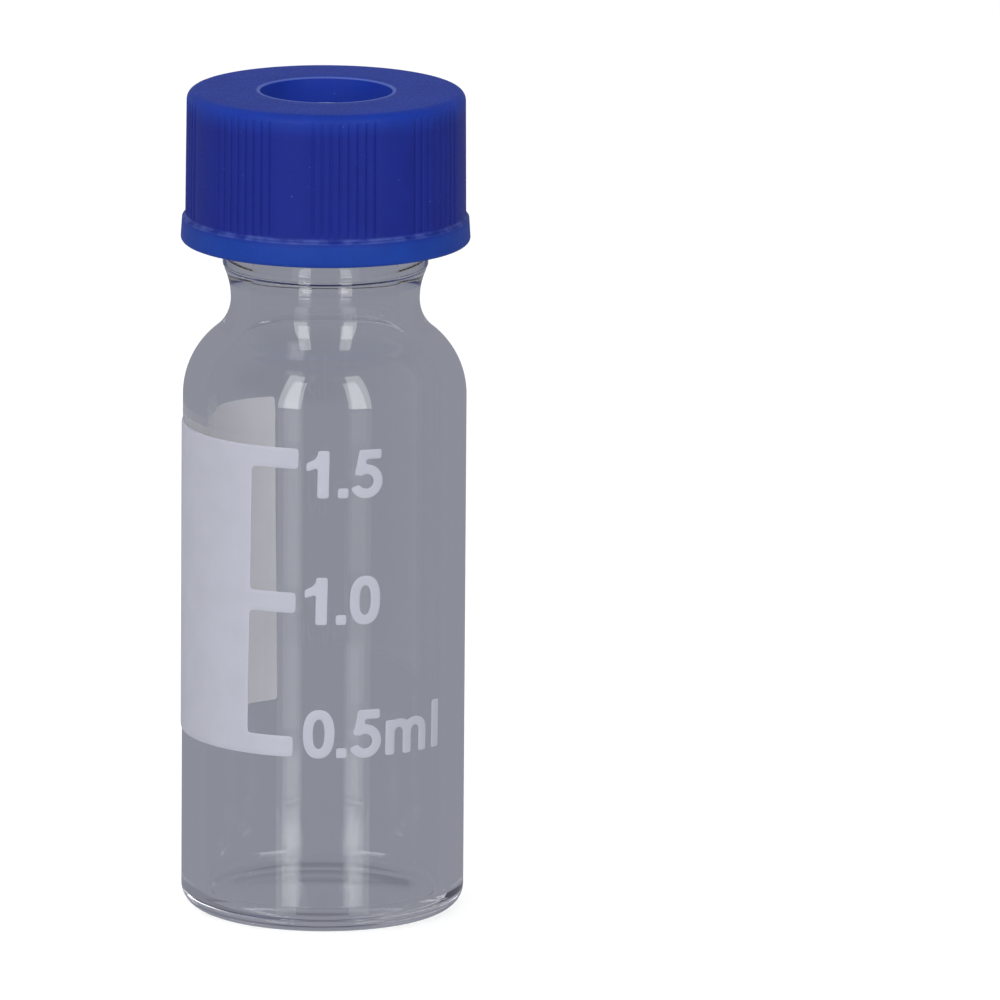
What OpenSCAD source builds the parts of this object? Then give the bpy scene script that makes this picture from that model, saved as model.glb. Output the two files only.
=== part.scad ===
// Glass sample vial with a screw cap, 12 x 32 mm size, standing on its base.
// Millimetres. Z runs up the axis from the centre of the base.
// Angles round the axis are counted from the front (-Y) towards the right (+X).

/* [Glass body] */
// Outer diameter of the straight wall
body_d = 11.6; // [11.4:0.05:11.7]
// Thickness of the straight wall
body_wall = 1.0; // [0.8:0.05:1.2]
// Height of the glass from the base to the rim
glass_h = 32.0; // [31.5:0.1:40]
// Thickness of the floor where it meets the wall
floor_t = 0.9; // [0.75:0.05:1.3]
// Radius of the outer edge round the base
heel_r = 0.9; // [0.5:0.05:1.2]
// Radius of the inner corner between floor and wall
floor_corner_r = 0.5; // [0.3:0.05:1.0]
// Diameter of the shallow hollow under the base
punt_d = 7.6; // [6:0.1:8.6]
// Depth of the shallow hollow under the base
punt_h = 0.25; // [0.1:0.05:0.4]

/* [Shoulder and neck] */
// Radius of the outward curve of the shoulder
shoulder_r = 3.4; // [2.6:0.1:3.8]
// Radius of the inward curve from the shoulder into the waist
waist_low_r = 1.9; // [1.6:0.1:2.4]
// Radius of the curve from the waist up to the threaded finish
waist_high_r = 3.1; // [2.6:0.1:4]
// Diameter of the neck at its narrowest
waist_d = 7.8; // [7.6:0.05:8.0]
// Depth of the narrowest place below the rim
waist_drop = 6.45; // [6.2:0.05:6.8]
// Diameter of the threaded finish at the thread's root
finish_d = 8.3; // [8.1:0.05:8.4]
// Height of the threaded finish
finish_h = 5.25; // [5:0.05:5.5]
// Diameter of the mouth
mouth_d = 6.0; // [5.4:0.1:6.2]
// Radius of the rim's outer edge
rim_outer_r = 0.35; // [0.15:0.05:0.4]
// Radius of the rim's inner edge
rim_inner_r = 0.15; // [0.1:0.05:0.25]

/* [Thread] */
// Height of the thread's ridge above its root, on glass and cap alike
thread_h = 0.4; // [0.3:0.05:0.5]
// Radial clearance between each thread's crest and the other's root
thread_gap = 0.1; // [0.05:0.05:0.15]

/* [Septum] */
// Thickness of the sealing disc
septum_t = 1.0; // [0.8:0.1:1.5]
// Radial clearance between the disc and the cap's bore
septum_gap = 0.15; // [0.05:0.05:0.25]

/* [Cap] */
// Height of the cap
cap_h = 6.25; // [5.8:0.05:6.6]
// Diameter of the skirt just under the top edge
cap_top_d = 11.38; // [11.2:0.02:11.44]
// Diameter of the skirt where it meets the flange
cap_low_d = 11.46; // [11.4:0.02:11.6]
// Thickness of the top wall
cap_top_t = 1.05; // [0.8:0.05:1.3]
// Radius of the top edge
cap_edge_r = 0.4; // [0.2:0.05:0.5]
// Diameter of the needle hole
hole_d = 5.4; // [5:0.1:6]
// Radius of the needle hole's upper edge
hole_edge_r = 0.1; // [0.05:0.05:0.2]
// Largest diameter of the flange
flange_d = 11.84; // [11.76:0.02:12]
// Height of the flange
flange_h = 1.05; // [0.8:0.05:1.4]
// Narrowing of the flange's diameter from its foot to its top
flange_draft = 0.1; // [0.02:0.02:0.14]
// Radius of the flange's lower edge
flange_edge_r = 0.2; // [0.1:0.05:0.3]
// Width of the lead-in at the bore's mouth
lead_in = 0.25; // [0.1:0.05:0.35]

/* [Grip grooves] */
// Number of groups of grooves round the skirt
groove_groups = 8; // [4:1:10]
// Number of grooves in a group
grooves_per_group = 8; // [3:1:9]
// Angle between neighbouring grooves of a group
groove_pitch_a = 3.75; // [3:0.05:4]
// Radius of a groove's round section
groove_r = 0.09; // [0.06:0.01:0.14]
// Distance from the cap's top to the upper end of the grooves
groove_drop = 0.55; // [0.5:0.05:1]
// Distance from the flange up to the lower end of the grooves
groove_lift = 0.1; // [0.05:0.05:0.5]
// Angle from the front to the middle of the nearest group
grip_a = 7.8; // [0:0.1:45]

/* [Write-on patch] */
// Thickness of the fired enamel
enamel_t = 0.05; // [0.03:0.01:0.1]
// Angle covered by the writing field
field_a = 129.2; // [90:0.2:150]
// Angle from the front to the field's nearer edge
field_edge_a = 31.2; // [25:0.2:45]
// Angle covered by a graduation bar beyond the field's edge
bar_a = 19.8; // [8:0.2:24]
// Height of a graduation bar
bar_h = 0.85; // [0.4:0.05:1.2]
// Height of the lowest bar's middle above the inner floor
first_bar_h = 7.0; // [6:0.1:7.4]
// Distance between neighbouring bars
bar_pitch = 6.0; // [5:0.1:6.2]
// Number of graduation bars
bars = 3; // [2:1:3]

/* [Hidden] */
$fn = 120;
// Overlap that keeps cutters clear of the faces they cut
eps = 0.05;
// Overlap of two arcs that run into each other
hair = 0.002;
// Angle by which a cutter runs past the end of the graduation bars
past_a = 5;
// Facets of the flat arc under the base
punt_fn = 720;
// Facets of a groove
groove_fn = 16;

body_r = body_d / 2;
bore_r = body_r - body_wall;
waist_r = waist_d / 2;
waist_z = glass_h - waist_drop;
mouth_r = mouth_d / 2;
neck_wall = waist_r - mouth_r;
finish_r = finish_d / 2;
finish_z = glass_h - finish_h;

// Radius of the arc that gives the hollow under the base
punt_r = (pow(punt_d / 2, 2) + punt_h * punt_h) / (2 * punt_h);

septum_z = glass_h;
cap_bore_r = finish_r + thread_h + thread_gap;
septum_r = cap_bore_r - septum_gap;
cap_seat_z = septum_z + septum_t;
cap_top_z = cap_seat_z + cap_top_t;
cap_foot_z = cap_top_z - cap_h;
flange_top_z = cap_foot_z + flange_h;
hole_r = hole_d / 2;

field_z = floor_t + first_bar_h - bar_h / 2;
field_h = (bars - 1) * bar_pitch + bar_h;

// Drop from the waist to the start of the shoulder, for two arcs that meet
// without a corner between the radii wall_r and neck_r
function shoulder_drop(out_r, in_r, wall_r, neck_r) =
    sqrt(pow(out_r + in_r, 2) - pow(neck_r + in_r - wall_r + out_r, 2));

// Cutter that rounds a corner lying at the origin with its material in the
// positive quarter
module corner_cut(r) {
    difference() {
        translate([-eps, -eps]) square(r + eps);
        translate([r, r]) circle(r);
    }
}

// Half section of a straight wall that sweeps in through an outward arc and an
// inward arc to the narrow neck, filled from the axis, from z = low_z to the waist
module bottle_half(low_z, wall_r, neck_r, out_r, in_r) {
    start_z = waist_z - shoulder_drop(out_r, in_r, wall_r, neck_r) + hair;
    translate([0, low_z]) square([wall_r, start_z - low_z]);
    intersection() {
        translate([wall_r - out_r, start_z]) circle(out_r);
        translate([0, low_z]) square([wall_r, waist_z - low_z]);
    }
    difference() {
        polygon([[0, low_z], [wall_r - out_r, low_z], [wall_r - out_r, start_z],
                 [neck_r + in_r, waist_z], [0, waist_z]]);
        translate([neck_r + in_r, waist_z]) circle(in_r);
    }
}

// Half section of the outside of the glass
module glass_outside() {
    difference() {
        bottle_half(0, body_r, waist_r, shoulder_r, waist_low_r);
        translate([body_r, 0]) mirror([1, 0]) corner_cut(heel_r);
        translate([0, punt_h - punt_r]) circle(punt_r, $fn = punt_fn);
    }
    difference() {
        translate([0, waist_z]) square([finish_r, finish_z - waist_z]);
        translate([waist_r + waist_high_r, waist_z]) circle(waist_high_r);
    }
    difference() {
        translate([0, finish_z]) square([finish_r, finish_h]);
        translate([finish_r, glass_h]) rotate(180) corner_cut(rim_outer_r);
    }
}

// Half section of the hollow inside the glass, open at the mouth
module glass_inside() {
    difference() {
        bottle_half(floor_t, bore_r, mouth_r, shoulder_r - body_wall, waist_low_r + neck_wall);
        translate([bore_r, floor_t]) mirror([1, 0]) corner_cut(floor_corner_r);
    }
    translate([0, waist_z - eps]) square([mouth_r, waist_drop + 2 * eps]);
}

module glass_vial() {
    color([0.72, 0.75, 0.82, 0.45])
    rotate_extrude()
    difference() {
        glass_outside();
        glass_inside();
        translate([mouth_r, glass_h]) mirror([0, 1]) corner_cut(rim_inner_r);
    }
}

// Curved sheet round the wall, from angle a0 to a1 counted from the front
module sheet(a0, a1, z, h, inner_r, t) {
    rotate([0, 0, a0 - 90])
    rotate_extrude(angle = a1 - a0)
    translate([inner_r, z]) square([t, h]);
}

// One sheet as long as field and bars together, with the spaces between the bars cut out
module write_on_patch() {
    bar_end_a = bar_a - field_edge_a;
    color([0.92, 0.93, 0.96])
    difference() {
        sheet(-field_edge_a - field_a, bar_end_a, field_z, field_h, body_r, enamel_t);
        for (i = [0 : bars - 2])
            sheet(-field_edge_a, bar_end_a + past_a, field_z + i * bar_pitch + bar_h, bar_pitch - bar_h,
                  body_r - eps, enamel_t + 2 * eps);
    }
}

module septum() {
    color([0.86, 0.83, 0.77])
    translate([0, 0, septum_z]) cylinder(r = septum_r, h = septum_t);
}

// Half section of the cap, a stepped cup upside down
module cap_half() {
    top_r = cap_top_d / 2;
    low_r = cap_low_d / 2;
    flange_r = flange_d / 2;
    flange_top_r = flange_r - flange_draft / 2;
    skirt_z = cap_top_z - cap_edge_r;
    difference() {
        union() {
            polygon([[0, flange_top_z - eps], [low_r, flange_top_z - eps], [low_r, flange_top_z],
                     [top_r, skirt_z], [0, skirt_z]]);
            translate([0, skirt_z]) square([top_r - cap_edge_r, cap_edge_r]);
            intersection() {
                translate([top_r - cap_edge_r, skirt_z]) circle(cap_edge_r);
                translate([0, skirt_z]) square([top_r, cap_edge_r]);
            }
            difference() {
                polygon([[0, cap_foot_z], [flange_r, cap_foot_z], [flange_top_r, flange_top_z],
                         [0, flange_top_z]]);
                translate([flange_r, cap_foot_z]) mirror([1, 0]) corner_cut(flange_edge_r);
            }
        }
        translate([0, cap_foot_z - eps]) square([cap_bore_r, cap_seat_z - cap_foot_z + eps]);
        polygon([[0, cap_foot_z - eps], [cap_bore_r + lead_in + eps, cap_foot_z - eps],
                 [cap_bore_r, cap_foot_z + lead_in], [0, cap_foot_z + lead_in]]);
        translate([0, cap_seat_z - eps]) square([hole_r, cap_top_t + 2 * eps]);
        translate([hole_r, cap_top_z]) mirror([0, 1]) corner_cut(hole_edge_r);
    }
}

// Upright grooves in groups, with a plain land between one group and the next
module grip_grooves() {
    middle_r = (cap_top_d + cap_low_d) / 4;
    groove_z = flange_top_z + groove_lift;
    for (g = [0 : groove_groups - 1], i = [0 : grooves_per_group - 1]) {
        from_middle = (i - (grooves_per_group - 1) / 2) * groove_pitch_a;
        rotate([0, 0, grip_a - 90 + g * 360 / groove_groups + from_middle])
        translate([middle_r, 0, groove_z])
        cylinder(r = groove_r, h = cap_top_z - groove_drop - groove_z, $fn = groove_fn);
    }
}

module screw_cap() {
    color([0.10, 0.17, 0.58])
    difference() {
        rotate_extrude() cap_half();
        grip_grooves();
    }
}

glass_vial();
write_on_patch();
septum();
screw_cap();
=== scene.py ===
"""Dresses a small screw-capped glass sample vial: blown glass, enamel print, seal and cap."""

import math

import bpy
import numpy as np
from mathutils import Matrix, Vector


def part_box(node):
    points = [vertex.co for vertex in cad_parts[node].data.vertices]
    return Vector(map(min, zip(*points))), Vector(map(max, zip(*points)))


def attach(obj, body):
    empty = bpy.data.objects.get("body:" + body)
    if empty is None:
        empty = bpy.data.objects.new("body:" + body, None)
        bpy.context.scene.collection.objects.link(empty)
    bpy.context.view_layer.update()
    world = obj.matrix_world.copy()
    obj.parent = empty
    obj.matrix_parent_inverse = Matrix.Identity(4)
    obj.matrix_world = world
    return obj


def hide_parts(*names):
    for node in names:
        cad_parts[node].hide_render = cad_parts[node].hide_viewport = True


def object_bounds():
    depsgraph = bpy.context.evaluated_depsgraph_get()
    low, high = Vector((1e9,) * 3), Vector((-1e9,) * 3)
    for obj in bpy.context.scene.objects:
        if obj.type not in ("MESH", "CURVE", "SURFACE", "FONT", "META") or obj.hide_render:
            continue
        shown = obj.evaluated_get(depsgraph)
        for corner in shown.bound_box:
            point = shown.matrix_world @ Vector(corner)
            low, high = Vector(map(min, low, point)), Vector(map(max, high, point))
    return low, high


bl_info = {
    "name": "Glass sample vial",
    "version": (1, 0, 0),
    "blender": (4, 5, 0),
    "location": "3D View > Sidebar > Vial",
    "description": "Makes a screw-capped glass sample vial with a write-on panel and a scale",
    "category": "Add Mesh",
}

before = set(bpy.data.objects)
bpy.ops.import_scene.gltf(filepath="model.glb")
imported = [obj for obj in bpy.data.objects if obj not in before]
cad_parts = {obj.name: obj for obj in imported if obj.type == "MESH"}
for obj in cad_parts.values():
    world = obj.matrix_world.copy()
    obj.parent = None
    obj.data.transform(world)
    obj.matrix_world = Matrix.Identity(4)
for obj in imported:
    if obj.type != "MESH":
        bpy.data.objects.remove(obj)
CAD_LOW, CAD_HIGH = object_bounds()
_, GLASS_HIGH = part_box("glass_vial")
PANEL_LOW, PANEL_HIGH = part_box("write_on_patch")
SEAL_LOW, SEAL_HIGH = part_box("septum")
CAP_LOW, CAP_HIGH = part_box("screw_cap")
MM = 0.001


# ---------------------------------------------------------------- settings


def length(name, description, default):
    return bpy.props.FloatProperty(
        name=name, description=description, default=default, precision=6,
        unit="LENGTH", subtype="DISTANCE",
    )


def turn(name, description, default):
    return bpy.props.FloatProperty(
        name=name, description=description, default=math.radians(default),
        unit="ROTATION", subtype="ANGLE",
    )


def number(name, description, default):
    return bpy.props.FloatProperty(name=name, description=description, default=default)


def colour(name, description, default):
    return bpy.props.FloatVectorProperty(
        name=name, description=description, default=default, size=3,
        min=0.0, max=1.0, subtype="COLOR",
    )


class GlassSizes(bpy.types.PropertyGroup):
    """The blown glass, from its foot to its mouth."""

    body_radius: length("Body radius", "Outside of the straight wall", GLASS_HIGH.x)
    height: length("Height", "Foot to rim", GLASS_HIGH.z)
    bore_radius: length("Bore radius", "Inside of the straight wall", 4.8 * MM)
    floor_height: length("Floor height", "Foot to the inside floor", 0.9 * MM)
    floor_corner: length("Floor corner", "Radius between floor and bore", 0.15 * MM)
    floor_crease: length("Floor crease", "Radius of the fine crease round the floor", 0.04 * MM)
    heel_radius: length("Heel radius", "Rounding of the foot's edge", 0.9 * MM)
    punt_radius: length("Punt radius", "Half the width of the hollow under the foot", 3.8 * MM)
    punt_rise: length("Punt rise", "Depth of the hollow under the foot", 0.25 * MM)
    shoulder_radius: length("Shoulder radius", "Rounding from wall to shoulder", 3.4 * MM)
    waist_height: length("Waist height", "Height of the neck's narrowest place", 25.42 * MM)
    waist_radius: length("Waist radius", "Outside of the neck at its narrowest", 3.86 * MM)
    waist_curve: length("Waist curve", "Radius of the hollow below the waist", 1.7 * MM)
    neck_curve: length("Neck curve", "Radius of the hollow above the waist", 3.1 * MM)
    mouth_radius: length("Mouth radius", "Inside of the neck", 3.0 * MM)
    finish_radius: length("Finish radius", "Outside of the threaded finish", 4.15 * MM)
    finish_height: length("Finish height", "Where the finish starts", 26.93 * MM)
    ledge_round: length("Ledge rounding", "Bead at the foot of the finish", 0.26 * MM)
    throat_height: length("Throat height", "Lower end of the neck's straight inside", 25.34 * MM)
    throat_curve: length("Throat curve", "Radius of the neck's inside above the shoulder", 2.8 * MM)
    cheek_curve: length("Cheek curve", "Radius of the shoulder's inside", 2.4 * MM)
    rim_round: length("Rim rounding", "Outer edge of the mouth", 0.35 * MM)
    lip_round: length("Lip rounding", "Inner edge of the mouth", 0.15 * MM)
    tint: colour("Tint", "Colour of the glass", (0.97, 0.98, 0.985))
    shade: colour("Shade", "Colour of the light that passes the glass", (0.94, 0.945, 0.955))


class ThreadSizes(bpy.types.PropertyGroup):
    """The coarse screw thread that the glass and the cap share."""

    pitch: length("Pitch", "Rise in one turn", 1.8 * MM)
    depth: length("Depth", "Height of a ridge", 0.4 * MM)
    width: length("Width", "Width of a ridge at its root", 0.8 * MM)
    start_height: length("Start height", "Where the ridge on the glass starts", 29.05 * MM)
    turns: number("Turns", "Turns of the ridge on the glass", 1.2)
    fade: number("Fade", "Part of a turn in which a ridge runs out", 0.09)


class PrintSizes(bpy.types.PropertyGroup):
    """The enamel panel to write on and the scale beside it."""

    panel_low: length("Panel foot", "Lower edge of the panel", PANEL_LOW.z)
    panel_high: length("Panel head", "Upper edge of the panel", PANEL_HIGH.z)
    panel_start: turn("Panel start", "Back edge of the panel, from the front", -156.8)
    panel_end: turn("Panel end", "Front edge of the panel, from the front", -31.2)
    bar_end: turn("Bar end", "Free ends of the scale's bars, from the front", -11.4)
    bar_height: length("Bar height", "Height of a bar", 0.85 * MM)
    bar_step: length("Bar step", "From one bar to the next", 6.0 * MM)
    lean: turn("Lean", "How far the print leans out of true", 0.9)
    thickness: length("Thickness", "Enamel on the glass", 0.05 * MM)
    front: colour("Enamel", "Colour of the enamel's face", (0.432, 0.442, 0.515))
    # Painted light: the back is a much lighter copy of the face's enamel, to make up for the dim
    # light that reaches its inner side.
    back: colour("Enamel back", "Colour of the enamel seen through the glass", (0.70, 0.685, 0.725))


class CapSizes(bpy.types.PropertyGroup):
    """The moulded screw cap."""

    foot: length("Foot", "Lower face of the cap", CAP_LOW.z)
    top: length("Top", "Upper face of the cap", CAP_HIGH.z)
    flange_radius: length("Flange radius", "Outside of the foot's flange", CAP_HIGH.x)
    flange_draft: length("Flange draft", "How much narrower the flange is above", 0.05 * MM)
    flange_height: length("Flange height", "Foot to the flange's upper face", 1.05 * MM)
    flange_round: length("Flange rounding", "Lower edge of the flange", 0.2 * MM)
    skirt_radius: length("Skirt radius", "Outside of the skirt above the flange", 5.73 * MM)
    skirt_draft: length("Skirt draft", "How much narrower the skirt is above", 0.04 * MM)
    top_round: length("Top rounding", "Upper edge of the skirt", 0.4 * MM)
    hole_radius: length("Hole radius", "Opening for the needle", 2.7 * MM)
    bore_radius: length("Bore radius", "Inside of the skirt", 4.65 * MM)
    lead_in: length("Lead-in", "Chamfer at the mouth of the bore", 0.25 * MM)
    edge: length("Edge", "Small rounding of the moulded edges", 0.08 * MM)
    groove_radius: length("Groove radius", "Half the width of a grip groove", 0.10 * MM)
    groove_depth: length("Groove depth", "Depth of a grip groove", 0.055 * MM)
    groove_pitch: turn("Groove pitch", "From one groove to the next", 3.75)
    groove_first: turn("First group", "Middle of the first group, from the front", 7.8)
    groove_groups: bpy.props.IntProperty(
        name="Groups", description="Groups of grooves round the skirt", default=8)
    groove_count: bpy.props.IntProperty(
        name="Grooves", description="Grooves in a group", default=8)
    plastic: colour("Plastic", "Colour of the cap", (0.003, 0.0135, 0.218))
    # Painted light: the next three colours are lighter blues standing in for light let through the
    # thin flange, light from above on the upper band and face, and light through the hole's wall.
    plastic_thin_lit_through: colour("Thin plastic", "Colour where the wall is thin", (0.003, 0.043, 0.315))
    plastic_top_lit: colour("Top plastic", "Colour of the cap's upper face", (0.003, 0.041, 0.375))
    plastic_hole_lit_through: colour("Hole plastic", "Colour of the hole's wall", (0.0035, 0.029, 0.33))
    # Painted highlight: the pale blue on the flange's upper face and round the needle hole.
    plastic_edge_highlight: colour("Edge highlight plastic", "Colour of painted edge highlights", (0.085, 0.135, 0.47))
    chalk: colour("Chalk", "Colour of dust", (0.55, 0.58, 0.68))


class SealSizes(bpy.types.PropertyGroup):
    """The silicone disc under the cap."""

    radius: length("Radius", "Outside of the disc", SEAL_HIGH.x)
    low: length("Underside", "Face that seals the rim", SEAL_LOW.z)
    high: length("Upper side", "Face under the cap", SEAL_HIGH.z)
    edge: length("Edge", "Rounding of the rim", 0.1 * MM)
    silicone: colour("Silicone", "Colour of the disc", (0.72, 0.70, 0.63))
    film: colour("Film", "Colour of the film on the underside", (0.60, 0.50, 0.36))


class StageSettings(bpy.types.PropertyGroup):
    """Floor, lamps and camera."""

    distance: length("Camera distance", "From the vial's axis to the camera", 0.650)
    eye: length("Camera height", "Height of the camera over the floor", 0.1595)
    pitch: turn("Camera pitch", "How far the camera looks down", 12.366)
    yaw: turn("Camera yaw", "How far the camera looks to its right", 0.6343)
    roll: turn("Camera roll", "How far the camera leans", 0.434)
    lens: bpy.props.FloatProperty(
        name="Lens", description="Focal length on a 36 mm sensor", default=585.1, unit="CAMERA")
    floor: colour("Floor", "Colour of the floor", (0.90, 0.90, 0.90))
    paper: colour("Paper", "The grey that the glass stands before", (0.268, 0.276, 0.322))
    dusk: colour("Dusk", "The dim room above the camera", (0.06, 0.055, 0.075))
    sky: number("Sky", "Level of the light from all round", 0.70)
    sky_right: number("Sky to the right", "Level of that light from the right", 0.36)
    sky_rear: number("Sky behind", "Level of that light from low behind", 1.5)


# ------------------------------------------------------------- mesh helpers


def arc(centre, radius, start, end, steps):
    """Points on a circle's arc, from one angle to another, in degrees."""
    sweep = np.radians(np.linspace(start, end, steps + 1))
    return [(centre[0] + radius * math.cos(t), centre[1] + radius * math.sin(t)) for t in sweep]


def line(start, end, steps):
    """Points on a straight line between two places, without its ends."""
    share = np.linspace(0, 1, steps + 1)[1:-1]
    return [(start[0] + (end[0] - start[0]) * t, start[1] + (end[1] - start[1]) * t) for t in share]


def ease(value):
    """0 below 0, 1 above 1, and a soft rise between."""
    share = np.clip(value, 0.0, 1.0)
    return share * share * (3.0 - 2.0 * share)


def shown(name, points, faces, smooth_to=30):
    """A mesh object with smooth faces and edges kept sharp above an angle in degrees."""
    mesh = bpy.data.meshes.new(name)
    mesh.from_pydata(points, [], faces)
    mesh.validate()
    mesh.polygons.foreach_set("use_smooth", [True] * len(mesh.polygons))
    mesh.set_sharp_from_angle(angle=math.radians(smooth_to))
    piece = bpy.data.objects.new(name, mesh)
    bpy.context.scene.collection.objects.link(piece)
    return piece


def around(radius, angle):
    """Place on a circle, with angle 0 at the front and growing towards the right-hand side."""
    return radius * np.sin(angle), -radius * np.cos(angle)


def turned(name, section, angles, radius_at=None, smooth_to=30):
    """Turns a section of (radius, height) points round the vial's axis.

    A section that starts and ends on the axis closes there, and any other is a closed loop.
    radius_at(radius, height, angle) may change the radius with the angle.
    """
    section = np.array(section)
    radius, angle = np.meshgrid(section[:, 0], angles, indexing="ij")
    height = np.repeat(section[:, 1:2], len(angles), axis=1)
    if radius_at:
        radius = radius_at(radius, height, angle)
    x, y = around(radius, angle)
    capped = section[0, 0] == 0
    columns = len(angles)
    grid = np.stack([x, y, height], axis=-1)
    body = grid[1:-1] if capped else grid
    points = body.reshape(-1, 3).tolist()
    index = np.arange(len(points)).reshape(-1, columns)
    lower = index[:-1] if capped else index
    upper = index[1:] if capped else np.roll(index, -1, axis=0)
    faces = np.stack(
        [lower, np.roll(lower, -1, axis=1), np.roll(upper, -1, axis=1), upper], axis=-1
    ).reshape(-1, 4).tolist()
    if capped:
        foot, head = len(points), len(points) + 1
        points += [[0, 0, section[0, 1]], [0, 0, section[-1, 1]]]
        first, last = index[0].tolist(), index[-1].tolist()
        for j in range(columns):
            k = (j + 1) % columns
            faces.append([foot, first[k], first[j]])
            faces.append([head, last[j], last[k]])
    return shown(name, points, faces, smooth_to)


def blur(field, spread):
    """Softens a field of cells by a bell curve, as ink flows a little on glass."""
    reach = int(math.ceil(3 * spread))
    bell = np.exp(-0.5 * (np.arange(-reach, reach + 1) / spread) ** 2)
    bell /= bell.sum()
    soft = np.apply_along_axis(lambda row: np.convolve(row, bell, mode="same"), 0, field)
    return np.apply_along_axis(lambda row: np.convolve(row, bell, mode="same"), 1, soft)


def inked(name, shape, left, right, low, high, cell, spread, radius, thickness, sink):
    """A closed sheet of enamel on a cylinder, where shape(along, up) is above 0.

    along is measured round the glass from its front. The sheet is highest inside and
    thins out at its edges, and its underside lies in the glass.
    """
    margin = 4 * cell
    along = np.arange(left - margin, right + margin + cell, cell)
    up = np.arange(low - margin, high + margin + cell, cell)
    ways = np.meshgrid(along, up, indexing="ij")
    cover = blur(np.clip(0.5 + shape(*ways) / cell, 0, 1), spread / cell) - 0.5
    inside = cover > 0
    points, heights, found, faces = [], [], {}, []

    def point(key, s, z, rise):
        if key not in found:
            found[key] = len(points)
            points.append((s, z))
            heights.append(rise)
        return found[key]

    some = inside[:-1, :-1] | inside[1:, :-1] | inside[1:, 1:] | inside[:-1, 1:]
    for i, j in zip(*np.nonzero(some)):
        corners = [(i, j), (i + 1, j), (i + 1, j + 1), (i, j + 1)]
        face = []
        for a, b in zip(corners, corners[1:] + corners[:1]):
            if inside[a]:
                face.append(point(a, along[a[0]], up[a[1]], cover[a]))
            if inside[a] != inside[b]:
                share = min(0.95, max(0.05, cover[a] / (cover[a] - cover[b])))
                if a > b:
                    key, share_key = (b, a), 1 - share
                else:
                    key, share_key = (a, b), share
                s = along[key[0][0]] * (1 - share_key) + along[key[1][0]] * share_key
                z = up[key[0][1]] * (1 - share_key) + up[key[1][1]] * share_key
                face.append(point(key, s, z, 0.0))
        faces.append(face)
    flat = np.array(points)
    rise = thickness * (0.35 + 0.65 * ease(np.array(heights) * 2.2))
    count = len(flat)
    rings = [radius + rise, np.full(count, radius - sink)]
    solid = []
    for ring in rings:
        x, y = around(ring, flat[:, 0] / radius)
        solid += np.stack([x, y, flat[:, 1]], axis=-1).tolist()
    used = {edge: True for face in faces for edge in zip(face, face[1:] + face[:1])}
    back = [[v + count for v in reversed(face)] for face in faces]
    walls = [[b, a, a + count, b + count] for a, b in used if (b, a) not in used]
    piece = shown(name, solid, faces + walls + back, smooth_to=50)
    slots = [0] * (len(faces) + len(walls)) + [1] * len(back)
    piece.data.polygons.foreach_set("material_index", slots)
    return piece


# --------------------------------------------------------- shapes in enamel
# Each returns how far a place lies inside the shape, and less than 0 outside it.


def inside_box(s, z, left, right, low, high):
    across = np.abs(s - (left + right) / 2) - (right - left) / 2
    upright = np.abs(z - (low + high) / 2) - (high - low) / 2
    return -(np.hypot(np.maximum(across, 0), np.maximum(upright, 0))
             + np.minimum(np.maximum(across, upright), 0))


def inside_outline(s, z, corners):
    """The same for a closed outline of straight sides."""
    near = np.full(s.shape, np.inf)
    within = np.zeros(s.shape, bool)
    for (ax, az), (bx, bz) in zip(corners, corners[1:] + corners[:1]):
        ex, ez = bx - ax, bz - az
        share = np.clip(((s - ax) * ex + (z - az) * ez) / (ex * ex + ez * ez), 0, 1)
        near = np.minimum(near, np.hypot(s - ax - share * ex, z - az - share * ez))
        if az != bz:
            crosses = (az > z) != (bz > z)
            within ^= crosses & (s < ax + (z - az) * ex / ez)
    return np.where(within, near, -near)


def inside_loop(s, z, centre, outer, inner, roundness):
    """An upright loop, round as an ellipse at 2 and squarer above."""
    def fill(size):
        reach = (np.abs((s - centre[0]) / size[0]) ** roundness
                 + np.abs((z - centre[1]) / size[1]) ** roundness) ** (1 / roundness)
        return (1 - reach) * min(size)
    return np.minimum(fill(outer), -fill(inner))


# Places in a character are in millimetres, from its lower left corner.


def digit_1(s, z):
    stem = inside_box(s, z, 0.46, 0.93, 0.0, 1.97)
    flag = inside_outline(s, z, [(0.93, 1.97), (0.61, 1.97), (0.32, 1.60), (0.0, 1.44),
                                 (0.0, 1.10), (0.46, 1.26)])
    return np.maximum(stem, flag)


def digit_0(s, z):
    return inside_loop(s, z, (0.645, 1.0), (0.645, 1.015), (0.24, 0.62), 2.35)


def digit_5(s, z):
    bar = inside_box(s, z, 0.26, 1.20, 1.59, 1.98)
    block = inside_outline(s, z, [(0.26, 1.98), (0.60, 1.98), (0.53, 1.30), (0.45, 0.95),
                                  (0.08, 0.92)])
    middle_s, middle_z, outer, inner = 0.575, 0.665, 0.70, 0.31
    away = np.hypot(s - middle_s, z - middle_z)
    bowl = np.minimum(outer - away, away - inner)
    sweep = np.degrees(np.arctan2(z - middle_z, s - middle_s)) % 360
    bowl = np.where((sweep > 138) & (sweep < 202), -1.0, bowl)
    return np.maximum(np.maximum(bar, block), bowl)


def letter_m(s, z):
    stems = np.maximum(inside_box(s, z, 0.0, 0.42, 0.0, 1.45), np.maximum(
        inside_box(s, z, 0.82, 1.22, 0.0, 0.95), inside_box(s, z, 1.63, 2.03, 0.0, 0.95)))
    arches = np.full(s.shape, -1.0)
    for middle in (0.62, 1.43):
        arch = inside_loop(s, z, (middle, 0.90), (0.60, 0.57), (0.20, 0.23), 2.2)
        arches = np.maximum(arches, np.where(z > 0.88, arch, -1.0))
    return np.maximum(stems, arches)


def letter_l(s, z):
    return inside_box(s, z, 0.0, 0.43, 0.0, 1.99)


def full_stop(s, z):
    return inside_box(s, z, 0.0, 0.43, 0.0, 0.41)


CHARACTER_HEIGHT = 2.05
LAST_CHARACTER_WIDTH = 1.4
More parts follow.
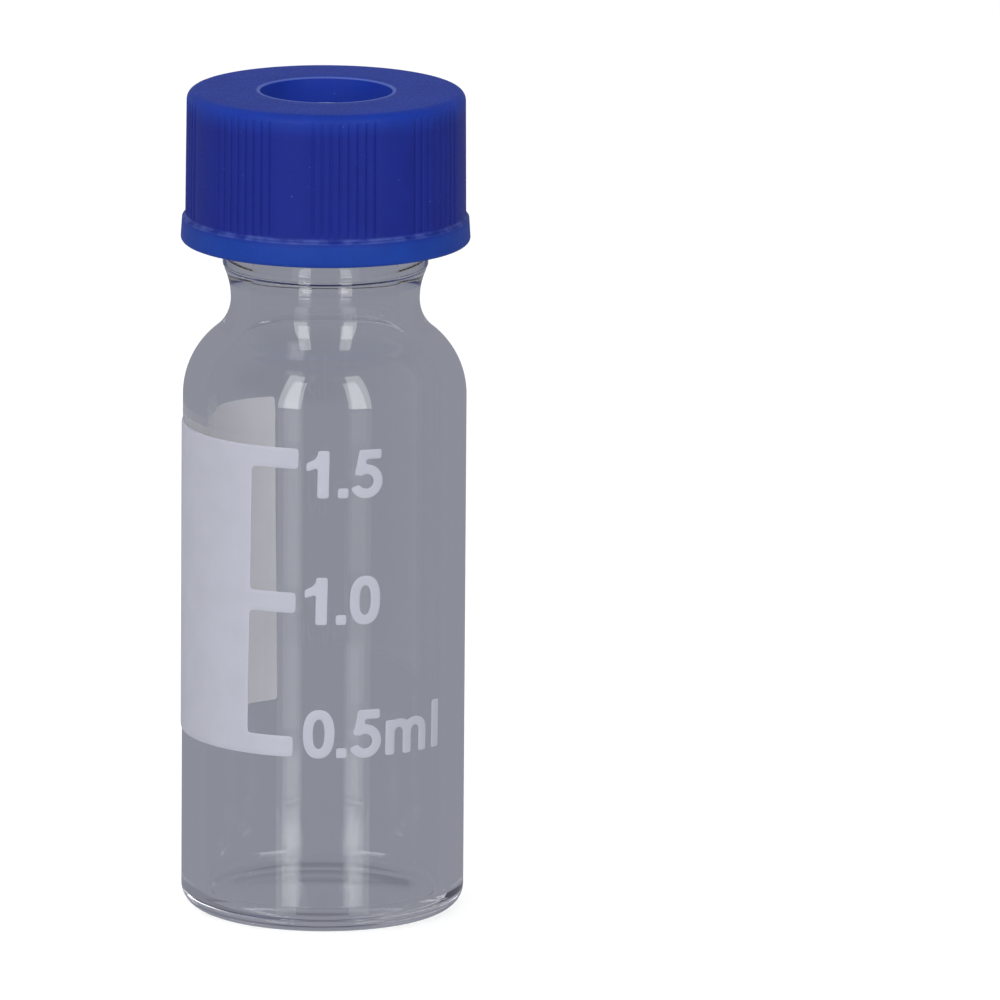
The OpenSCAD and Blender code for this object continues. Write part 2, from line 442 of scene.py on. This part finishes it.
# A line of the scale: its name, its place round the glass, its foot, and its characters
# with the step from the line's start to each, in millimetres.
SCALE = [
    ("numeral_1_5", -0.75, 18.28, [(digit_1, 0.0), (full_stop, 1.30), (digit_5, 1.90)]),
    ("numeral_1_0", -0.80, 13.01, [(digit_1, 0.0), (full_stop, 1.29), (digit_0, 1.85)]),
    ("numeral_0_5_ml", -0.84, 7.45, [(digit_0, 0.0), (full_stop, 1.37),
                                     (digit_5, 1.99), (letter_m, 3.46), (letter_l, 5.84)]),
]


# ---------------------------------------------------------------- materials


def node(tree, kind, values=None, **settings):
    """A node with its settings and the values of its inputs, by name."""
    made = tree.nodes.new(kind)
    for key, value in settings.items():
        setattr(made, key, value)
    for key, value in (values or {}).items():
        made.inputs[key].default_value = value
    return made


def fresh(name):
    """A new node material: its tree, its main shader and its output."""
    material = bpy.data.materials.new(name)
    material.use_nodes = True
    tree = material.node_tree
    tree.nodes.clear()
    shader = node(tree, "ShaderNodeBsdfPrincipled")
    output = node(tree, "ShaderNodeOutputMaterial")
    tree.links.new(shader.outputs[0], output.inputs["Surface"])
    return material, tree, shader, output


def place(tree):
    """The point on the piece, in its own metres."""
    return node(tree, "ShaderNodeTexCoord").outputs["Object"]


def grain(tree, where, size, detail=2.0, roughness=0.5):
    """Noise with features of a size in metres."""
    made = node(tree, "ShaderNodeTexNoise",
                {"Scale": 1.0 / size, "Detail": detail, "Roughness": roughness})
    tree.links.new(where, made.inputs["Vector"])
    return made.outputs["Fac"]


def ramp(tree, value, low, high, to_low=0.0, to_high=1.0, soft=False):
    """Maps a value from one range to another, held at the ends."""
    made = node(tree, "ShaderNodeMapRange",
                {"From Min": low, "From Max": high, "To Min": to_low, "To Max": to_high},
                interpolation_type="SMOOTHSTEP" if soft else "LINEAR")
    tree.links.new(value, made.inputs["Value"])
    return made.outputs["Result"]


def mix(tree, share, first, second):
    """Two colours mixed by a share. Each is a colour or a socket."""
    made = node(tree, "ShaderNodeMix", data_type="RGBA")
    tree.links.new(share, made.inputs["Factor"])
    for key, value in ((6, first), (7, second)):
        if isinstance(value, bpy.types.NodeSocket):
            tree.links.new(value, made.inputs[key])
        else:
            made.inputs[key].default_value = (*value, 1.0)
    return made.outputs[2]


def maths(tree, operation, first, second):
    """One step of arithmetic on sockets or numbers."""
    made = node(tree, "ShaderNodeMath", operation=operation)
    for key, value in ((0, first), (1, second)):
        if isinstance(value, bpy.types.NodeSocket):
            tree.links.new(value, made.inputs[key])
        else:
            made.inputs[key].default_value = value
    return made.outputs[0]


def product(tree, first, *others):
    """Sockets multiplied together."""
    for other in others:
        first = maths(tree, "MULTIPLY", first, other)
    return first


def from_axis(tree, parts, front):
    """Distance from an upright axis that stands a little off the piece's own."""
    squares = [maths(tree, "POWER", maths(tree, "SUBTRACT", parts.outputs[axis], off), 2.0)
               for axis, off in (("X", 0.0), ("Y", front))]
    return maths(tree, "SQRT", maths(tree, "ADD", *squares), 0.0)


def relief(tree, shader, height, depth):
    """Bumps the surface by a height field, depth in metres."""
    made = node(tree, "ShaderNodeBump", {"Strength": 1.0, "Distance": depth})
    tree.links.new(height, made.inputs["Height"])
    tree.links.new(made.outputs["Normal"], shader.inputs["Normal"])


def clear_glass(sizes):
    """Clear borosilicate with the faint waves of drawn tube, and a soft shadow."""
    material, tree, shader, output = fresh("clear_vial_glass")
    shader.inputs["Base Color"].default_value = (*sizes.tint, 1.0)
    shader.inputs["Roughness"].default_value = 0.0
    shader.inputs["IOR"].default_value = 1.5
    shader.inputs["Transmission Weight"].default_value = 1.0
    where = node(tree, "ShaderNodeMapping")
    where.inputs["Scale"].default_value = (1.0, 1.0, 0.12)
    tree.links.new(place(tree), where.inputs["Vector"])
    relief(tree, shader, grain(tree, where.outputs[0], 2.6 * MM, 0.0), 0.0006 * MM)
    light = node(tree, "ShaderNodeLightPath")
    passing = node(tree, "ShaderNodeBsdfTransparent", {"Color": (*sizes.shade, 1.0)})
    both = node(tree, "ShaderNodeMixShader")
    # Light that the wall has thrown back three times leaves it straight, as shadow light does.
    trapped = maths(tree, "GREATER_THAN", light.outputs["Glossy Depth"], 2.5)
    leaving = maths(tree, "MAXIMUM", light.outputs["Is Shadow Ray"], trapped)
    tree.links.new(leaving, both.inputs["Fac"])
    tree.links.new(shader.outputs[0], both.inputs[1])
    tree.links.new(passing.outputs[0], both.inputs[2])
    tree.links.new(both.outputs[0], output.inputs["Surface"])
    return material


def enamel(name, base, grit):
    """Fired white enamel: matt, slightly blotchy, with fine pits."""
    material, tree, shader, _ = fresh(name)
    where = place(tree)
    blotch = grain(tree, where, 1.6 * MM, 3.0)
    speck = grain(tree, where, 0.10 * MM, 1.0)
    darker = tuple(c * (1 - 0.025 * grit) for c in base)
    lighter = tuple(min(1.0, c * (1 + 0.02 * grit)) for c in base)
    tone = mix(tree, ramp(tree, blotch, 0.35, 0.65), darker, lighter)
    spotted = mix(tree, ramp(tree, speck, 0.70, 0.76, 0.0, 0.25), tone,
                  tuple(c * 0.8 for c in base))
    tree.links.new(spotted, shader.inputs["Base Color"])
    tree.links.new(ramp(tree, speck, 0.3, 0.7, 0.50, 0.64), shader.inputs["Roughness"])
    relief(tree, shader, grain(tree, where, 0.13 * MM, 3.0, 0.6), 0.010 * MM)
    shader.inputs["Specular IOR Level"].default_value = 0.4
    return material


def blue_plastic(sizes):
    """Moulded polypropylene, with painted light: lighter blue where the wall is thin, on its upper
    band and face and in the needle hole, and painted highlights on the flange's upper face and
    round the hole.
    """
    material, tree, shader, _ = fresh("blue_cap_plastic")
    where = place(tree)
    split = node(tree, "ShaderNodeSeparateXYZ")
    tree.links.new(where, split.inputs[0])
    height = split.outputs["Z"]
    radius = from_axis(tree, split, 0.0)
    flange_top = sizes.foot + sizes.flange_height
    hole = sizes.hole_radius
    # Painted light by height and radius: lighter blue on the thin flange, on the upper band and
    # face, and on the hole's wall.
    thin = ramp(tree, height, flange_top + 0.1 * MM, flange_top - 0.3 * MM, 0.0, 0.88, soft=True)
    top = ramp(tree, height, sizes.top - 1.1 * MM, sizes.top - 0.1 * MM, 0.0, 0.62, soft=True)
    inside = ramp(tree, radius, hole + 0.06 * MM, hole + 0.01 * MM)
    base = mix(tree, thin, sizes.plastic, sizes.plastic_thin_lit_through)
    base = mix(tree, top, base, sizes.plastic_top_lit)
    base = mix(tree, inside, base, sizes.plastic_hole_lit_through)
    cloud = grain(tree, where, 1.2 * MM, 3.0)
    base = mix(tree, ramp(tree, cloud, 0.35, 0.65, 0.0, 0.16), base,
               tuple(c * 0.6 for c in sizes.plastic))
    patchy = ramp(tree, grain(tree, where, 0.8 * MM, 2.0), 0.35, 0.65, 0.06, 0.50, soft=True)
    # Painted highlight, patchy on the flange's upper face, and on a ring round the needle hole set
    # a little off the axis.
    flange_edge = product(
        tree, ramp(tree, height, flange_top - 0.12 * MM, flange_top - 0.02 * MM, soft=True),
        ramp(tree, height, flange_top + 0.16 * MM, flange_top + 0.05 * MM, soft=True), patchy)
    hole_edge = product(
        tree, ramp(tree, from_axis(tree, split, -0.06 * MM), hole + 0.20 * MM, hole + 0.10 * MM,
                   0.0, 0.85, soft=True),
        ramp(tree, height, sizes.top - 0.07 * MM, sizes.top - 0.03 * MM, soft=True))
    painted_highlight = maths(tree, "MAXIMUM", flange_edge, hole_edge)
    base = mix(tree, painted_highlight, base, sizes.plastic_edge_highlight)
    dust = ramp(tree, grain(tree, where, 0.11 * MM, 1.0), 0.79, 0.82, 0.0, 0.16)
    base = mix(tree, dust, base, sizes.chalk)
    tree.links.new(base, shader.inputs["Base Color"])
    fine = grain(tree, where, 0.09 * MM, 3.0, 0.6)
    tree.links.new(ramp(tree, fine, 0.3, 0.7, 0.42, 0.58), shader.inputs["Roughness"])
    relief(tree, shader, fine, 0.008 * MM)
    shader.inputs["IOR"].default_value = 1.49
    shader.inputs["Specular IOR Level"].default_value = 0.22
    return material


def silicone(sizes):
    """Ivory silicone with a faint cloudiness and a matt skin."""
    material, tree, shader, _ = fresh("ivory_silicone")
    where = place(tree)
    cloud = grain(tree, where, 1.0 * MM, 3.0)
    base = mix(tree, ramp(tree, cloud, 0.35, 0.65), tuple(c * 0.94 for c in sizes.silicone),
               sizes.silicone)
    tree.links.new(base, shader.inputs["Base Color"])
    fine = grain(tree, where, 0.08 * MM, 2.0)
    tree.links.new(ramp(tree, fine, 0.3, 0.7, 0.5, 0.62), shader.inputs["Roughness"])
    relief(tree, shader, fine, 0.006 * MM)
    shader.inputs["Subsurface Weight"].default_value = 0.15
    shader.inputs["Subsurface Scale"].default_value = 0.4 * MM
    return material


def sealing_film(sizes):
    """The thin beige film on the side of the disc that meets the glass."""
    material, tree, shader, _ = fresh("beige_sealing_film")
    where = place(tree)
    streak = node(tree, "ShaderNodeMapping")
    streak.inputs["Scale"].default_value = (0.2, 1.6, 1.0)
    tree.links.new(where, streak.inputs["Vector"])
    lines = grain(tree, streak.outputs[0], 0.3 * MM, 3.0)
    base = mix(tree, ramp(tree, lines, 0.3, 0.7), tuple(c * 0.92 for c in sizes.film), sizes.film)
    tree.links.new(base, shader.inputs["Base Color"])
    tree.links.new(ramp(tree, lines, 0.3, 0.7, 0.28, 0.40), shader.inputs["Roughness"])
    relief(tree, shader, lines, 0.004 * MM)
    return material


# ------------------------------------------------------------------ pieces


def neck_profile(wall, shoulder, waist, hollow, height):
    """Shoulder and waist as two arcs that meet smoothly, from the wall up to the waist."""
    inner, outer = wall - shoulder, waist + hollow
    reach = shoulder + hollow
    rise = math.sqrt(reach ** 2 - (outer - inner) ** 2)
    start = height - rise
    meet = math.degrees(math.atan2(rise, outer - inner))
    return start, (arc((inner, start), shoulder, 0, meet, 22)
                   + arc((outer, height), hollow, 180 + meet, 180, 22)[1:])


def ridge(thread, height, angle, lift):
    """Height of the thread's ridge at a place, in shares of its depth."""
    turns = (height - thread.start_height - lift) / thread.pitch - angle / (2 * math.pi)
    aside = np.abs(turns - np.round(turns)) * thread.pitch / (thread.width / 2)
    along = np.round(turns) + angle / (2 * math.pi)
    ends = ease(along / thread.fade) * ease((thread.turns - along) / thread.fade)
    return ease((1.0 - aside) / 0.55) * ends


def glass_section(sizes):
    """The wall's whole section, from the middle of the foot round to the inside floor."""
    dome = (sizes.punt_radius ** 2 + sizes.punt_rise ** 2) / (2 * sizes.punt_rise)
    lean = math.degrees(math.asin(sizes.punt_radius / dome))
    wall, bore = sizes.body_radius, sizes.bore_radius
    rim, lip = sizes.rim_round, sizes.lip_round
    points = arc((0.0, sizes.punt_rise - dome), dome, 90, 90 - lean, 14)
    points[0] = (0.0, sizes.punt_rise)
    points += arc((wall - sizes.heel_radius, sizes.heel_radius), sizes.heel_radius, -90, 0, 14)
    start, shoulder = neck_profile(wall, sizes.shoulder_radius, sizes.waist_radius,
                                   sizes.waist_curve, sizes.waist_height)
    points += line(points[-1], (wall, start), 14) + shoulder
    finish, bead = sizes.finish_radius, sizes.ledge_round
    climb = math.degrees(math.asin(
        (sizes.finish_height - bead - sizes.waist_height) / sizes.neck_curve))
    points += arc((sizes.waist_radius + sizes.neck_curve, sizes.waist_height),
                  sizes.neck_curve, 180, 180 - climb, 14)[1:]
    proud = 0.05 * MM
    points += arc((finish + proud - bead, sizes.finish_height), bead, -62, 0, 10)
    foot = (finish, sizes.finish_height + 3 * bead)
    head = (finish, sizes.height - rim)
    points += [foot] + line(foot, head, 64)
    points += arc((finish - rim, sizes.height - rim), rim, 0, 90, 8)
    points += arc((sizes.mouth_radius + lip, sizes.height - lip), lip, 90, 180, 6)
    start, shoulder = neck_profile(bore, sizes.cheek_curve, sizes.mouth_radius,
                                   sizes.throat_curve, sizes.throat_height)
    points += line(points[-1], shoulder[-1], 8) + shoulder[::-1]
    corner, crease = sizes.floor_corner, sizes.floor_crease
    turn_in = arc((bore - corner, sizes.floor_height + corner), corner, 0, -90, 8)
    turn_in += arc((bore - corner - crease, sizes.floor_height), crease, 0, -180, 8)[1:]
    points += line(points[-1], turn_in[0], 14) + turn_in + [(0.0, sizes.floor_height)]
    return points


class VIAL_OT_make_glass(bpy.types.Operator):
    """Make the blown glass with its threaded finish"""

    bl_idname = "vial.make_glass"
    bl_label = "Make glass"

    def execute(self, context):
        sizes, thread = context.scene.vial_glass, context.scene.vial_thread

        def threaded(radius, height, angle):
            outside = (radius > sizes.mouth_radius + sizes.lip_round + 0.3 * MM) & (
                height > sizes.finish_height)
            return radius + outside * thread.depth * ridge(thread, height, angle, 0.0)

        angles = np.linspace(0, 2 * math.pi, 320, endpoint=False)
        glass = turned("vial_glass", glass_section(sizes), angles, threaded, smooth_to=40)
        glass.data.materials.append(clear_glass(sizes))
        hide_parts("glass_vial")
        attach(glass, "vial")
        return {"FINISHED"}


class VIAL_OT_make_print(bpy.types.Operator):
    """Fire the write-on panel and the scale onto the glass"""

    bl_idname = "vial.make_print"
    bl_label = "Make print"

    def execute(self, context):
        sizes, glass = context.scene.vial_print, context.scene.vial_glass
        radius = glass.body_radius
        # The back enamel is a lighter copy of the face: painted light for its dim inner side.
        faces = [enamel("white_enamel_face", tuple(sizes.front), 1.0),
                 enamel("white_enamel_back_lightened", tuple(sizes.back), 0.6)]
        middle = (sizes.panel_low + sizes.panel_high) / 2
        slope = math.tan(sizes.lean)
        left, edge, end = (radius * a for a in (sizes.panel_start, sizes.panel_end, sizes.bar_end))

        def panel(s, z):
            s = s - (z - middle) * slope
            made = inside_box(s, z, left, edge, sizes.panel_low, sizes.panel_high)
            for step in range(3):
                low = sizes.panel_low + step * sizes.bar_step
                bar = inside_box(s, z, edge - 0.5 * MM, end, low, low + sizes.bar_height)
                made = np.maximum(made, bar)
            return made

        sink = 0.01 * MM
        pieces = [inked("writing_panel", panel, left, end + 0.2 * MM, sizes.panel_low,
                        sizes.panel_high, 0.10 * MM, 0.07 * MM, radius, sizes.thickness, sink)]
        for name, start, foot, characters in SCALE:
            def characters_of_line(s, z, characters=characters, start=start, foot=foot):
                s, z = s / MM - start, z / MM - foot
                s = s - z * slope
                made = np.full(s.shape, -1.0)
                for shape, step in characters:
                    made = np.maximum(made, shape(s - step, z))
                return made * MM

            width = max(step for _, step in characters) + LAST_CHARACTER_WIDTH
            pieces.append(inked(
                name, characters_of_line, start * MM, (start + width) * MM, foot * MM,
                (foot + CHARACTER_HEIGHT) * MM, 0.05 * MM, 0.045 * MM, radius,
                sizes.thickness * 0.6, sink))
        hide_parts("write_on_patch")
        for piece in pieces:
            for face in faces:
                piece.data.materials.append(face)
            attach(piece, "vial")
        return {"FINISHED"}


class VIAL_OT_make_seal(bpy.types.Operator):
    """Make the silicone disc with its film"""

    bl_idname = "vial.make_seal"
    bl_label = "Make seal"

    def execute(self, context):
        sizes = context.scene.vial_seal
        edge, radius = sizes.edge, sizes.radius
        section = [(0.0, sizes.low), (1.5 * MM, sizes.low), (3.0 * MM, sizes.low)]
        section += arc((radius - edge, sizes.low + edge), edge, -90, 0, 6)
        section += arc((radius - edge, sizes.high - edge), edge, 0, 90, 6)
        section += [(2.4 * MM, sizes.high), (1.2 * MM, sizes.high), (0.0, sizes.high)]
        angles = np.linspace(0, 2 * math.pi, 192, endpoint=False)
        disc = turned("septum_disc", section, angles)
        disc.data.materials.append(silicone(sizes))
        disc.data.materials.append(sealing_film(sizes))
        film = sizes.low + 0.12 * MM
        disc.data.polygons.foreach_set(
            "material_index", [1 if f.center.z < film else 0 for f in disc.data.polygons])
        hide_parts("septum")
        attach(disc, "seal")
        return {"FINISHED"}


def cap_section(sizes):
    """The cap's closed section, from the foot up the outside and back down the bore."""
    foot, top, edge = sizes.foot, sizes.top, sizes.edge
    flange_top = foot + sizes.flange_height
    flange = sizes.flange_radius
    above = flange - sizes.flange_draft
    skirt_foot = sizes.skirt_radius
    skirt_head = skirt_foot - sizes.skirt_draft
    low, high = sizes.flange_round, sizes.top_round
    points = arc((flange - low, foot + low), low, -90, 0, 6)
    points += arc((above - edge, flange_top - edge), edge, 0, 90, 4)
    points += arc((skirt_foot + edge, flange_top + edge), edge, -90, -180, 4)
    head = (skirt_head, top - high)
    points += line(points[-1], head, 26)
    points += arc((skirt_head - high, top - high), high, 0, 90, 10)
    points += line(points[-1], (sizes.hole_radius + edge, top), 4)
    points += arc((sizes.hole_radius + edge, top - edge), edge, 90, 180, 5)
    seat = SEAL_HIGH.z
    points += [(sizes.hole_radius, (top + seat) / 2), (sizes.hole_radius, seat)]
    bore = sizes.bore_radius
    points += line(points[-1], (bore, seat), 3) + [(bore, seat)]
    mouth = (bore, foot + sizes.lead_in)
    points += line(points[-1], mouth, 56) + [mouth, (bore + sizes.lead_in, foot)]
    return points


def groove_angles(sizes):
    """Columns round the cap: close together across a groove and few between the groups."""
    half = 1.15 * sizes.groove_radius / sizes.skirt_radius
    across = np.linspace(-half, half, 8)
    angles = []
    for group in range(sizes.groove_groups):
        middle = sizes.groove_first + group * 2 * math.pi / sizes.groove_groups
        for i in range(sizes.groove_count):
            centre = middle + (i - (sizes.groove_count - 1) / 2) * sizes.groove_pitch
            angles += list(centre + across)
        free = 2 * math.pi / sizes.groove_groups - (sizes.groove_count - 1) * sizes.groove_pitch
        angles += list(angles[-1] + (free - 2 * half) * np.array([0.2, 0.4, 0.6, 0.8]))
    return np.array(angles)


class VIAL_OT_make_cap(bpy.types.Operator):
    """Make the ribbed screw cap with its thread"""

    bl_idname = "vial.make_cap"
    bl_label = "Make cap"

    def execute(self, context):
        sizes, thread = context.scene.vial_cap, context.scene.vial_thread
        flange_top = sizes.foot + sizes.flange_height
        groove = sizes.groove_radius
        group_turn = 2 * math.pi / sizes.groove_groups

        def shaped(radius, height, angle):
            skirt = radius > sizes.bore_radius + sizes.lead_in + 0.3 * MM
            grooved = skirt & (height > flange_top + 0.02 * MM)
            in_group = (angle - sizes.groove_first + group_turn / 2) % group_turn - group_turn / 2
            steps = in_group / sizes.groove_pitch + (sizes.groove_count - 1) / 2
            near = np.clip(np.round(steps), 0, sizes.groove_count - 1)
            aside = np.abs(steps - near) * sizes.groove_pitch * sizes.skirt_radius / groove
            bowl = (1 + np.cos(math.pi * np.clip(aside, 0, 1))) / 2 * sizes.groove_depth
            bowl = np.where(aside < 1, bowl + 0.004 * MM, 0.0)
            ends = ease((height - flange_top - 0.03 * MM) / (0.18 * MM)) * ease(
                (sizes.top - 0.18 * MM - height) / (0.35 * MM))
            inside = (radius < sizes.bore_radius + 0.001 * MM) & (radius > sizes.bore_radius
                                                                 - 0.001 * MM)
            lift = thread.pitch / 2
            cut = ridge(thread, height, angle, lift) * inside * (height < SEAL_HIGH.z - 0.05 * MM)
            return radius - grooved * bowl * ends - cut * thread.depth

        cap = turned("cap_shell", cap_section(sizes), groove_angles(sizes), shaped, smooth_to=42)
        cap.data.materials.append(blue_plastic(sizes))
        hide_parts("screw_cap")
        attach(cap, "cap")
        return {"FINISHED"}


# ------------------------------------------------------------------- stage

# Two upright strip lights, by their angles from the front. Each is bright above and dim
# below, with a small gap between. A part is its name, lower end, upper end and level.
STRIP_ANGLES = [("left", -29.7), ("right", 30.2)]
STRIP_REACH = 0.50
STRIP_WIDTH = 0.146
STRIP_PARTS = [("high", 0.064, 0.62, 4.0), ("middle", -0.114, 0.045, 0.60),
               ("foot", -0.20, -0.114, 1.2)]


def paper_floor(settings):
    """A wide pale floor that keeps a soft shadow and is white to the eye elsewhere."""
    material, tree, shader, output = fresh("pale_floor")
    where = place(tree)
    tone = grain(tree, where, 0.4, 2.0)
    base = mix(tree, ramp(tree, tone, 0.3, 0.7), tuple(c * 0.99 for c in settings.floor),
               tuple(settings.floor))
    tree.links.new(base, shader.inputs["Base Color"])
    shader.inputs["Roughness"].default_value = 0.9
    shader.inputs["Specular IOR Level"].default_value = 0.1
    light = node(tree, "ShaderNodeLightPath")
    glow = node(tree, "ShaderNodeEmission", {"Color": (1, 1, 1, 1), "Strength": 0.22})
    seen = node(tree, "ShaderNodeMixShader")
    tree.links.new(light.outputs["Is Camera Ray"], seen.inputs["Fac"])
    tree.links.new(glow.outputs[0], seen.inputs[2])
    total = node(tree, "ShaderNodeAddShader")
    tree.links.new(shader.outputs[0], total.inputs[0])
    tree.links.new(seen.outputs[0], total.inputs[1])
    tree.links.new(total.outputs[0], output.inputs["Surface"])
    return material


def paper_world(settings):
    """White to the eye, grey paper in the glass, and plain light from all round."""
    world = bpy.data.worlds.new("paper_world")
    bpy.context.scene.world = world
    world.use_nodes = True
    tree = world.node_tree
    tree.nodes.clear()
    light = node(tree, "ShaderNodeLightPath")
    split = node(tree, "ShaderNodeSeparateXYZ")
    tree.links.new(node(tree, "ShaderNodeTexCoord").outputs["Generated"], split.inputs[0])
    right, away, up = (split.outputs[axis] for axis in ("X", "Y", "Z"))
    above_camera = product(
        tree, ramp(tree, up, math.sin(math.radians(10)), math.sin(math.radians(30)), soft=True),
        ramp(tree, away, 0.25, -0.15, soft=True),
        ramp(tree, right, 0.45, 0.05, 0.2, 1.0, soft=True))
    high_behind = product(
        tree, ramp(tree, up, 0.5, 0.7, soft=True), ramp(tree, away, 0.1, 0.4, soft=True),
        ramp(tree, right, -0.3, 0.0, 0.0, 0.45, soft=True))
    dim = maths(tree, "MAXIMUM", above_camera, high_behind)
    paper = mix(tree, dim, tuple(settings.paper), tuple(settings.dusk))
    in_glass = maths(tree, "MAXIMUM", light.outputs["Is Glossy Ray"],
                     light.outputs["Is Transmission Ray"])
    straight = maths(tree, "LESS_THAN", light.outputs["Diffuse Depth"], 0.5)
    sky = mix(tree, ramp(tree, right, -0.1, 0.9, soft=True), (settings.sky,) * 3,
              (settings.sky_right,) * 3)
    low_behind = product(
        tree, ramp(tree, away, 0.2, 0.7, soft=True), ramp(tree, up, 0.6, 0.3, soft=True))
    sky = mix(tree, low_behind, sky, (settings.sky_rear,) * 3)
    all_round = mix(tree, product(tree, in_glass, straight), sky, paper)
    seen = mix(tree, light.outputs["Is Camera Ray"], all_round, (1.0, 1.0, 1.0))
    back = node(tree, "ShaderNodeBackground", {"Strength": 1.0})
    tree.links.new(seen, back.inputs["Color"])
    output = node(tree, "ShaderNodeOutputWorld")
    tree.links.new(back.outputs[0], output.inputs["Surface"])


def lamp(name, where, aim, width, height, level):
    """A soft box at a place, turned to an aim, with its brightness as a level."""
    data = bpy.data.lights.new(name, "AREA")
    data.shape = "RECTANGLE"
    data.size, data.size_y = width, height
    data.energy = level * math.pi * width * height
    box = bpy.data.objects.new(name, data)
    bpy.context.scene.collection.objects.link(box)
    away = (aim - where).to_track_quat("-Z", "Y")
    box.matrix_world = Matrix.Translation(where) @ away.to_matrix().to_4x4()
    return box


class VIAL_OT_make_stage(bpy.types.Operator):
    """Set the floor, the lamps and the camera"""

    bl_idname = "vial.make_stage"
    bl_label = "Make stage"

    def execute(self, context):
        settings = context.scene.vial_stage
        paper_world(settings)
        wide = 3.0
        floor = shown("floor", [(-wide, -wide, 0), (wide, -wide, 0), (wide, wide, 0),
                                (-wide, wide, 0)], [(0, 1, 2, 3)])
        floor.data.materials.append(paper_floor(settings))
        floor.visible_glossy = False
        floor.visible_transmission = False
        for side, angle in STRIP_ANGLES:
            x, y = around(STRIP_REACH, math.radians(angle))
            for part, low, high, level in STRIP_PARTS:
                where = Vector((x, y, (low + high) / 2))
                lamp(f"strip_{side}_{part}", where, Vector((0, 0, where.z)), STRIP_WIDTH,
                     high - low, level)
        middle = (CAD_LOW + CAD_HIGH) / 2
        top = lamp("top_box", Vector((-0.1, -0.15, 0.9)), middle, 0.7, 0.7, 0.8)
        top.visible_glossy = top.visible_transmission = False
        data = bpy.data.cameras.new("camera")
        data.sensor_width, data.lens = 36.0, settings.lens
        data.clip_start, data.clip_end = 0.05, 20.0
        camera = bpy.data.objects.new("camera", data)
        context.scene.collection.objects.link(camera)
        camera.matrix_world = (
            Matrix.Translation((0.0, -settings.distance, settings.eye))
            @ Matrix.Rotation(-settings.yaw, 4, "Z")
            @ Matrix.Rotation(math.pi / 2 - settings.pitch, 4, "X")
            @ Matrix.Rotation(settings.roll, 4, "Z"))
        context.scene.camera = camera
        context.scene.view_settings.view_transform = "Standard"
        return {"FINISHED"}


class VIAL_PT_panel(bpy.types.Panel):
    """The vial's pieces, one button each"""

    bl_idname = "VIAL_PT_panel"
    bl_label = "Glass sample vial"
    bl_space_type = "VIEW_3D"
    bl_region_type = "UI"
    bl_category = "Vial"

    def draw(self, context):
        for maker, groups in MAKERS:
            box = self.layout.box()
            box.operator(maker.bl_idname)
            for group in groups:
                settings = getattr(context.scene, group)
                for key in settings.__annotations__:
                    box.prop(settings, key)


# Each maker with the settings shown under its button.
MAKERS = [
    (VIAL_OT_make_stage, ["vial_stage"]),
    (VIAL_OT_make_glass, ["vial_glass", "vial_thread"]),
    (VIAL_OT_make_print, ["vial_print"]),
    (VIAL_OT_make_seal, ["vial_seal"]),
    (VIAL_OT_make_cap, ["vial_cap"]),
]
GROUPS = [
    ("vial_glass", GlassSizes),
    ("vial_thread", ThreadSizes),
    ("vial_print", PrintSizes),
    ("vial_cap", CapSizes),
    ("vial_seal", SealSizes),
    ("vial_stage", StageSettings),
]


def register():
    for name, group in GROUPS:
        bpy.utils.register_class(group)
        setattr(bpy.types.Scene, name, bpy.props.PointerProperty(type=group))
    for maker, _ in MAKERS:
        bpy.utils.register_class(maker)
    bpy.utils.register_class(VIAL_PT_panel)


def unregister():
    bpy.utils.unregister_class(VIAL_PT_panel)
    for maker, _ in reversed(MAKERS):
        bpy.utils.unregister_class(maker)
    for name, group in reversed(GROUPS):
        delattr(bpy.types.Scene, name)
        bpy.utils.unregister_class(group)


def main():
    register()
    bpy.ops.vial.make_stage()
    bpy.ops.vial.make_glass()
    bpy.ops.vial.make_print()
    bpy.ops.vial.make_seal()
    bpy.ops.vial.make_cap()


if __name__ == "__main__":
    main()
